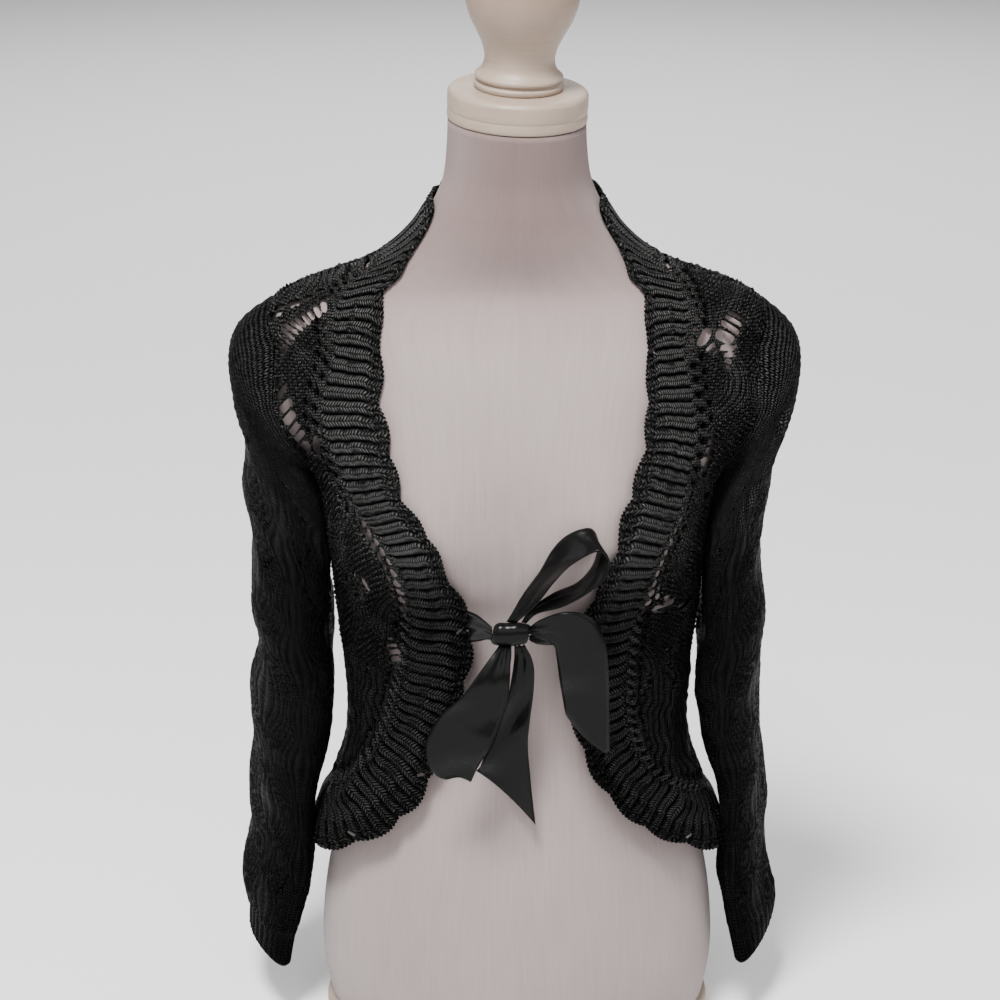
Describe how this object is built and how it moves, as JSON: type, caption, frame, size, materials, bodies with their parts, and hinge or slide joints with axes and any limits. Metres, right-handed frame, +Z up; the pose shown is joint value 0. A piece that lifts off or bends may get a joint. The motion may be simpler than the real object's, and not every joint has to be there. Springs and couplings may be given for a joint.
{
  "type": "open-knit cardigan on a limbless dress form",
  "caption": "Cropped open-knit lace cardigan with long sleeves, a scalloped ribbed border and a satin bow, worn on a limbless dress form with a turned finial.",
  "frame": {"origin": "centre of the base board's underside, where the dress form stands", "axes": "+Z up; the garment's front faces -Y; +X is at the viewer's right when looking at the front, the wearer's left"},
  "size_m": [0.4561, 0.286, 0.8901],
  "materials": {
    "yarn": "matte with a slight sheen",
    "satin": "satin",
    "jersey": "matte",
    "painted_wood": "eggshell paint"
  },
  "bodies": {
    "root": {"back": "yarn", "front_left": "yarn", "front_right": "yarn", "sleeve_left_front": "yarn", "sleeve_left_back": "yarn", "sleeve_right_front": "yarn", "sleeve_right_back": "yarn", "border_front_left": "yarn", "border_front_right": "yarn", "border_neck": "yarn", "border_hem": "yarn", "bow_knot": "satin", "bow_loop_lower": "satin", "bow_loop_upper": "satin", "bow_strand_left": "satin", "bow_strand_right": "satin", "bow_tail_left": "satin", "bow_tail_right": "satin", "form_torso": "jersey", "form_neck_cap": "painted_wood", "form_finial": "painted_wood", "form_base_board": "painted_wood"}
  },
  "joints": []
}
